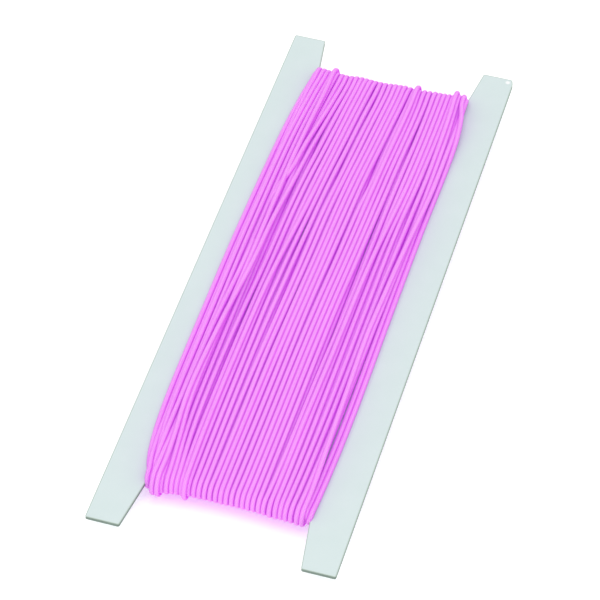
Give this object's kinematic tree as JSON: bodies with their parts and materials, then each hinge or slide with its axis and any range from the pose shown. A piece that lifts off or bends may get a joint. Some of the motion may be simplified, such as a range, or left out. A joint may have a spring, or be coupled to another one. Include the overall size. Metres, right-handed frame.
{
  "type": "line winder card",
  "caption": "Flat board line winder, notched at both ends to leave four horns, wound lengthwise with round braided line.",
  "frame": {"origin": "middle of the card, half way through its thickness, which is also the middle of the whole part's box", "axes": "+X across the card, +Y along the card towards the far notch, +Z out of the card's front face"},
  "size_m": [0.07, 0.2, 0.0092],
  "materials": {
    "grey_board": "die-cut grey board edge",
    "white_liner": "smooth uncoated cool white paper",
    "pink_line": "braided filament yarn, soft sheen"
  },
  "bodies": {
    "root": {"board_core": "grey_board", "front_liner": "white_liner", "back_liner": "white_liner", "line_winding": "pink_line"}
  },
  "joints": []
}
